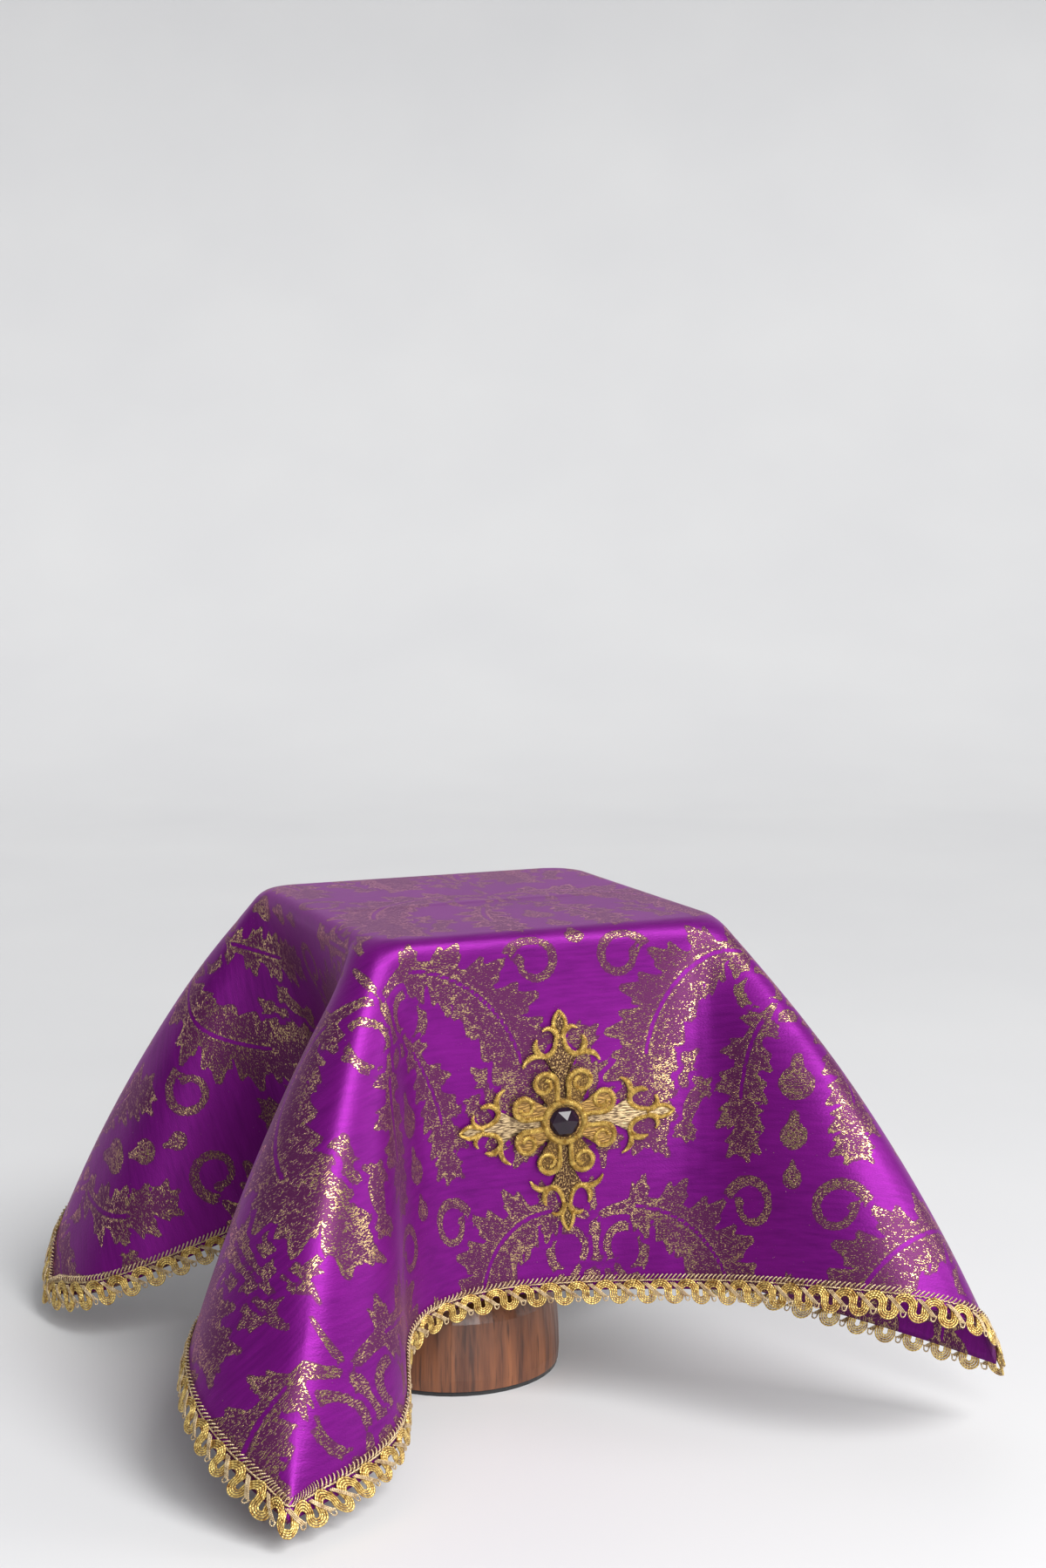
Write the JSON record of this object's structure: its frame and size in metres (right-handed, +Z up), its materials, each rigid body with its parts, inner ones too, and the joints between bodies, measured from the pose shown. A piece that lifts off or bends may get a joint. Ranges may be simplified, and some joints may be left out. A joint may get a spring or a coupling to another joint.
{
  "type": "chalice veil draped over a display stand",
  "caption": "Square brocade veil draped over a small wooden stand, edged with scalloped metallic braid and a jewelled cross on the front flap.",
  "frame": {"origin": "middle of the stand's foot, on the surface it rests on", "axes": "+Z up; +X to the right along the front hem; -Y is the front, where the cross is sewn"},
  "size_m": [0.3941, 0.4303, 0.2355],
  "materials": {
    "brocade": "satin weave with gold thread figure",
    "metal_braid": "twisted metallic cords",
    "gold_embroidery": "satin stitch in metallic thread",
    "gold_scrolls": "raised cord wrapped in metallic thread",
    "cut_stone": "polished facets",
    "stained_wood": "stained and waxed",
    "dark_pad": "matte"
  },
  "bodies": {
    "root": {"veil_cloth": "brocade", "braid": "metal_braid", "cross": "gold_embroidery", "rosette": "gold_scrolls", "stone": "cut_stone", "stand_board": "stained_wood", "stand_stem": "stained_wood", "stand_foot": "stained_wood", "foot_pad": "dark_pad"}
  },
  "joints": []
}
